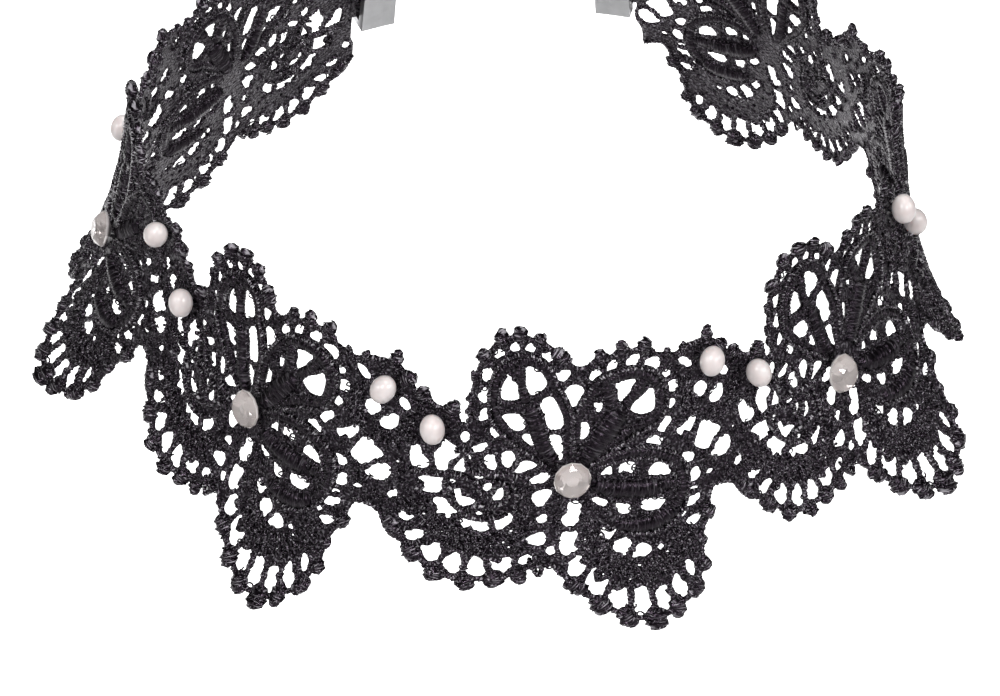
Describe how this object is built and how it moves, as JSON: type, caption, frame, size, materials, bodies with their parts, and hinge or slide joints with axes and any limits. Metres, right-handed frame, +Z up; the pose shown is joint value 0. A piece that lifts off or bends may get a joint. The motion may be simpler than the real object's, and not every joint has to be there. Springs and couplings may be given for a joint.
{
  "type": "lace choker necklace",
  "caption": "Black guipure lace choker with scalloped petal motifs, small oval pearls and clear cut crystals, closed by a plain clasp at the back of the neck.",
  "frame": {"origin": "middle of the neck opening at the height of the crystals", "axes": "+Z up the neck, -Y to the front of the neck, +X to the wearer's left"},
  "size_m": [0.1291, 0.1156, 0.0515],
  "materials": {
    "lace": "black twisted thread with a soft sheen",
    "pearl": "pearl lustre",
    "crystal": "clear, faceted, foil backed",
    "clasp": "plain satin metal"
  },
  "bodies": {
    "root": {"lace_band": "lace", "back_clasp": "clasp", "pearl_1": "pearl", "pearl_2": "pearl", "pearl_3": "pearl", "pearl_4": "pearl", "pearl_5": "pearl", "pearl_6": "pearl", "pearl_7": "pearl", "pearl_8": "pearl", "pearl_9": "pearl", "crystal_1": "crystal", "crystal_2": "crystal", "crystal_3": "crystal", "crystal_4": "crystal"}
  },
  "joints": []
}
